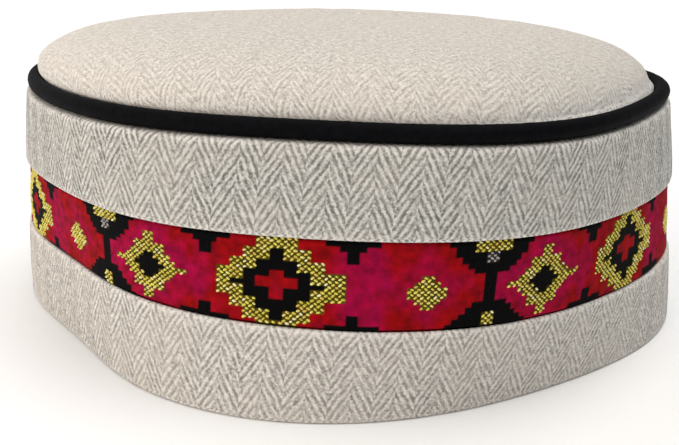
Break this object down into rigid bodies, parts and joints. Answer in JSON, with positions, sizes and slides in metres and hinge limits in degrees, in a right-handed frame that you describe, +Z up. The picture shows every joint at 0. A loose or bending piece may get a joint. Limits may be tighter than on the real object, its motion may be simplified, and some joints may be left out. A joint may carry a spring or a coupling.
{
  "type": "himachali cap",
  "caption": "Round wool pillbox cap with a soft domed crown, black corded piping and a patterned woven band between two plain wool strips.",
  "frame": {"origin": "bottom centre of the cap's box, on the surface that the rim stands on", "axes": "+Z up through the crown, front towards -Y, +X towards the right of the front view and along the longer side"},
  "size_m": [0.205, 0.1748, 0.0864],
  "materials": {
    "wall_wool": "grey herringbone wool",
    "band_weave": "magenta, red, black and yellow patterned weave",
    "piping": "black cloth over cord",
    "crown_wool": "pale herringbone wool"
  },
  "bodies": {
    "root": {"lower_wall": "wall_wool", "woven_band": "band_weave", "upper_wall": "wall_wool", "crown_piping": "piping", "crown": "crown_wool"}
  },
  "joints": []
}
